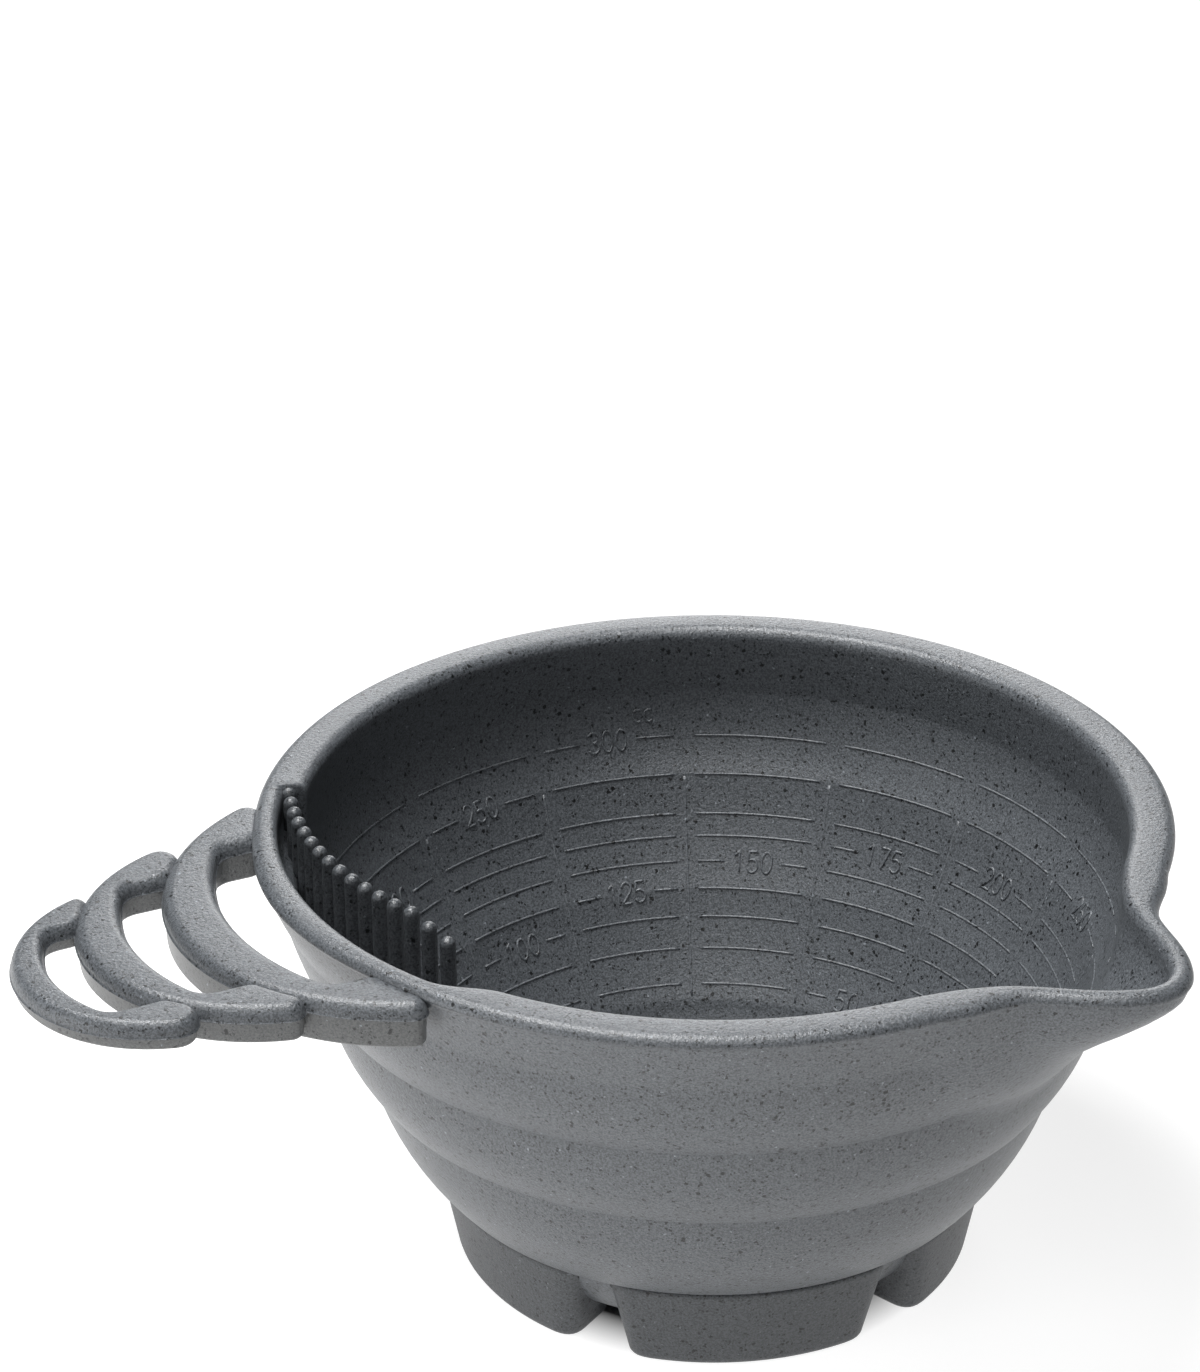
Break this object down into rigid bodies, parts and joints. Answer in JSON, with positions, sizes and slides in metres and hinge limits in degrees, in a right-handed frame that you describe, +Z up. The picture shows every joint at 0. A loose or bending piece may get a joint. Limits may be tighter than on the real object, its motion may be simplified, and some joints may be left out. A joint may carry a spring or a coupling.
{
  "type": "hair colour mixing bowl",
  "caption": "Round banded mixing bowl with a pour spout, a flat looped handle, a comb of pins inside the rim, raised volume lines and a footed base.",
  "frame": {"origin": "on the bowl's axis, on the plane that the feet stand on", "axes": "+Z up through the rim, -X along the handle, the pour spout at 66 degrees from +X towards -Y"},
  "size_m": [0.1664, 0.1363, 0.0684],
  "materials": {
    "bowl_plastic": "satin, slate grey, fine speckle",
    "handle_plastic": "satin, slate grey, fine speckle",
    "comb_plastic": "satin, slate grey",
    "foot_plastic": "matt, slate grey, fine speckle",
    "marking_plastic": "satin, slate grey"
  },
  "bodies": {
    "root": {"bowl_floor": "bowl_plastic", "wall_band_lower": "bowl_plastic", "wall_band_middle": "bowl_plastic", "wall_band_upper": "bowl_plastic", "wall_band_top": "bowl_plastic", "rim": "bowl_plastic", "pour_spout": "bowl_plastic", "handle_loop_inner": "handle_plastic", "handle_loop_middle": "handle_plastic", "handle_loop_outer": "handle_plastic", "brush_comb": "comb_plastic", "foot_1": "foot_plastic", "foot_2": "foot_plastic", "foot_3": "foot_plastic", "foot_4": "foot_plastic", "foot_5": "foot_plastic", "graduation_lines": "marking_plastic", "meridian_lines": "marking_plastic", "graduation_numerals": "marking_plastic", "unit_marks": "marking_plastic"}
  },
  "joints": []
}
